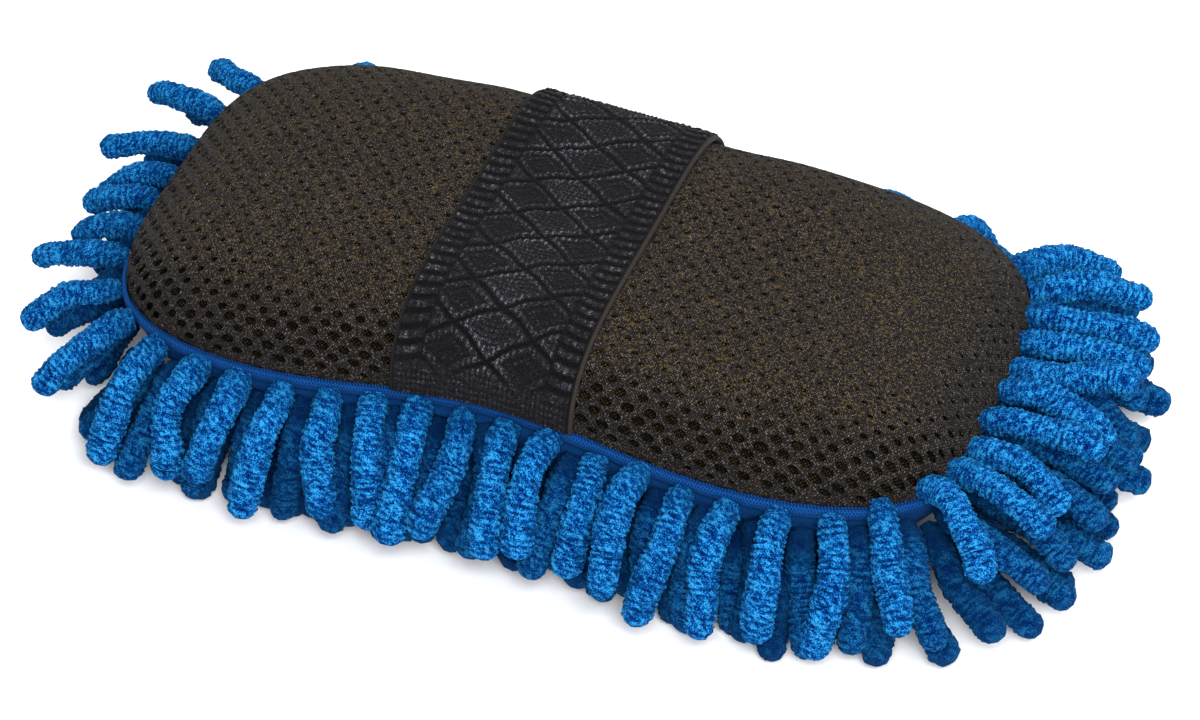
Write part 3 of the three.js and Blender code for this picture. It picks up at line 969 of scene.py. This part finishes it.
def stands_round(count, out_fine, point_gap):
    """Places of one row's fingers, as numbers of outline points, and the gap after each."""
    stands, walk = [], 0.0
    least_gap = 8
    while walk < count - least_gap:
        facing = out_fine[int(walk), 0]
        closer = CLOSER_RIGHT if facing > 0 else CLOSER_LEFT
        apart = FINGER_PITCH - closer * float(soft_step(abs(facing), 0.4, 0.95))
        stands.append((walk, apart / point_gap))
        walk += apart / point_gap
    return stands


def pointing(way, angle, lean):
    """The direction that is lean degrees to the side of way and angle degrees up from level."""
    turned = Matrix.Rotation(math.radians(lean), 3, "Z") @ Vector(way)
    a = math.radians(angle)
    return np.array(turned) * math.cos(a) + np.array((0, 0, math.sin(a)))


def ring_rows():
    """Fingers round the pad: row, side and the list of its fingers."""
    made = {}
    count = 1320
    fine, out_fine = round_outline(count)
    point_gap = lengths(np.vstack([fine, fine[:1]]))[-1] / count
    stands = stands_round(count, out_fine, point_gap)
    for level, row in ROWS.items():
        for place, apart in stands:
            k = int(place + row.shift * apart) % count
            on, way = fine[k], out_fine[k]
            side = ("left" if way[0] < -0.7 else "right" if way[0] > 0.7
                    else "front" if way[1] < 0 else "back")
            if level == "lowest" and way[0] < -0.5:
                continue
            # The solids have lower rows at the ends only; elsewhere these hang with the middle.
            node = level
            if level in ("lower", "lowest"):
                node = "lower" if side in ("left", "right") else "middle"
            to_end = float(soft_step(abs(way[0]), 0.3, 0.95))
            # At the right end the top row is sewn on over the edge of the mesh.
            over_edge = float(soft_step(way[0], 0.1, 0.6)) * (level == "upper")
            root = on + way * (row.out - OVER_EDGE_IN * over_edge)
            root[2] = seam_z(on[0], on[1]) - row.under + OVER_EDGE_UP * over_edge
            root[2] = max(root[2], FINGER_DIAMETER / 2 + 1) + dice.normal(0, 0.5)
            end = row.left if way[0] < 0 else row.right
            first, last, length = (a + (b - a) * to_end for a, b in zip(row.long, end))
            # The ones at the back left corner stand out straight; the right end's lie evenly.
            proud = float(soft_step(-way[0], 0.3, 0.8) * soft_step(way[1], -0.1, 0.5))
            calm = 1 - 0.45 * to_end * (way[0] > 0)
            first += dice.normal(0, 8) * calm + PROUD_FIRST * proud
            last += dice.normal(0, 10) * calm + PROUD_LAST * proud
            lean_first, lean_last = dice.normal(0, 7) * calm, dice.normal(0, 13) * calm
            length = length * FINGER_LENGTH * dice.uniform(0.94, 1.05) * (1 + 0.05 * proud)
            thin = 1 - (THINNER_LEFT if way[0] < 0 else THINNER_RIGHT) * to_end
            body = finger(root, pointing(way, first, lean_first), pointing(way, last, lean_last),
                          length, row.detail, thin)
            # Painted shade: each row's darkness, eased round both ends and deepened at the left end,
            # away from the key lamp; each finger then gets a random spread of tone.
            shaded = row.tone * (1 - 0.2 * to_end) + 0.16 * to_end * (way[0] < 0)
            own_shade_and_tone = float(np.clip(dice.normal(shaded, 0.06), 0, 1))
            made.setdefault((node, side), []).append((*body, own_shade_and_tone))
    return made


def sole_rows():
    """Fingers pressed flat between the pad and the surface, each row between those of the next."""
    pitch = 2 * (FINGER_DIAMETER + 2 * GAP)
    row_pitch = (FINGER_LENGTH + SOLE_TIP_GAP) / 2
    made = []
    for index in range(SOLE_ROWS):
        root_y = ((SOLE_ROWS - 1) * row_pitch + FINGER_LENGTH) / 2 - index * row_pitch
        fingers = []
        for i in range(-6, 7):
            x = (i + (0 if index % 2 else 0.5)) * pitch
            corner = abs(x / HALF_LENGTH) ** OUTLINE_POWER + max(
                abs(root_y), abs(root_y - FINGER_LENGTH)) ** OUTLINE_POWER / (
                    HALF_WIDTH + 2) ** OUTLINE_POWER
            if abs(x) > HALF_LENGTH - 1.9 * FINGER_DIAMETER or corner > 1:
                continue
            root = (x, root_y, 6.4)
            lean = dice.normal(0, 0.05)
            body = finger(root, (lean, -1, -0.25), (lean, -1, 0.0), FINGER_LENGTH, 0.6)
            body[0][:, 2] = np.clip(body[0][:, 2], 0.0, SOLE_CLEARANCE - GAP - 0.4)
            fingers.append((*body, float(dice.uniform(0.1, 0.4))))
        made.append(fingers)
    return made


# ---- Putting the mitt together ----
foam = foam_core()
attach(foam, "pad")
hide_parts("foam_core")

cover = mesh_cover()
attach(cover, "pad")
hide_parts("mesh_cover")

base = base_fabric()
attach(base, "pad")
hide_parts("base_fabric")

welt = seam_welt()
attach(welt, "pad")
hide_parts("seam_welt")

for (level, side), fingers in ring_rows().items():
    row = chenille_piece(f"fingers_{level}_{side}", fingers)
    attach(row, "pad")
    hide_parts(f"chenille_{level}_{side}")
for index, fingers in enumerate(sole_rows()):
    row = chenille_piece(f"fingers_sole_{index + 1}", fingers)
    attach(row, "pad")
    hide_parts(f"chenille_sole_{index + 1}")

strap, strap_half = hand_strap()
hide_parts("hand_strap", "strap_tab_front", "strap_tab_back")
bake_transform(strap)


# ---- Floor, light and camera ----
# Lamps: where each is, in metres, how wide, and how strong, in watts.
LAMPS = {
    "key": ((0.5, -1.0, 1.1), 0.6, 30),
    "fill": ((1.1, -0.3, 1.0), 1.0, 7),
    "top": ((-0.1, 0.5, 1.4), 0.8, 14),
}


def floor_and_light():
    """White paper under the mitt, a pale room round it, and three soft lamps."""
    bpy.ops.object.select_all(action="DESELECT")
    bpy.ops.mesh.primitive_plane_add(size=6, location=(0, 0, 0))
    floor = bpy.context.object
    floor.name = "floor"
    material, tree, shader = new_material("matt white paper sweep", 1.0)
    where = add_node(tree, "TexCoord", out="Object")
    grain = add_node(tree, "TexNoise", {"Vector": where, "Scale": per_metre(3.0)}, out="Fac")
    paper = add_node(tree, "ValToRGB", {"Fac": grain}, out="Color",
                     stops=[(0.3, "#f4f5f8"), (0.7, "#f7f8fb")])
    tree.links.new(paper, shader.inputs["Base Color"])
    floor.data.materials.append(material)
    world = bpy.data.worlds.new("studio")
    world.use_nodes = True
    sky = world.node_tree.nodes["Background"]
    sky.inputs["Color"].default_value = (0.97, 0.985, 1, 1)
    sky.inputs["Strength"].default_value = 0.5
    bpy.context.scene.world = world
    for name, (place, size, power) in LAMPS.items():
        lamp = bpy.data.lights.new(name, "AREA")
        lamp.size = size
        lamp.energy = power
        stand = bpy.data.objects.new(name, lamp)
        stand.location = place
        stand.rotation_euler = (-Vector(place)).to_track_quat("-Z", "Y").to_euler()
        bpy.context.scene.collection.objects.link(stand)
    bpy.context.scene.view_settings.view_transform = "Standard"


def camera():
    """Seen from the right of the front, well above it, through a long lens."""
    turn, rise, roll = (math.radians(angle) for angle in (21.4, 41.7, -0.6))
    distance, aside, higher = 1.347, 0.0058, 0.0092
    back = Vector((math.sin(turn) * math.cos(rise), -math.cos(turn) * math.cos(rise),
                   math.sin(rise)))
    right = Vector((math.cos(turn), math.sin(turn), 0))
    up = back.cross(right)
    across = right * math.cos(roll) + up * math.sin(roll)
    above = up * math.cos(roll) - right * math.sin(roll)
    lens = bpy.data.cameras.new("camera")
    lens.lens = 152
    lens.sensor_width = 36
    view = bpy.data.objects.new("camera", lens)
    turned = Matrix((across, above, back)).transposed().to_4x4()
    place = back * distance + across * aside + above * higher
    view.matrix_world = Matrix.Translation(place) @ turned
    lens.clip_start = 0.05
    lens.clip_end = 20
    bpy.context.scene.collection.objects.link(view)
    bpy.context.scene.camera = view


floor_and_light()
camera()
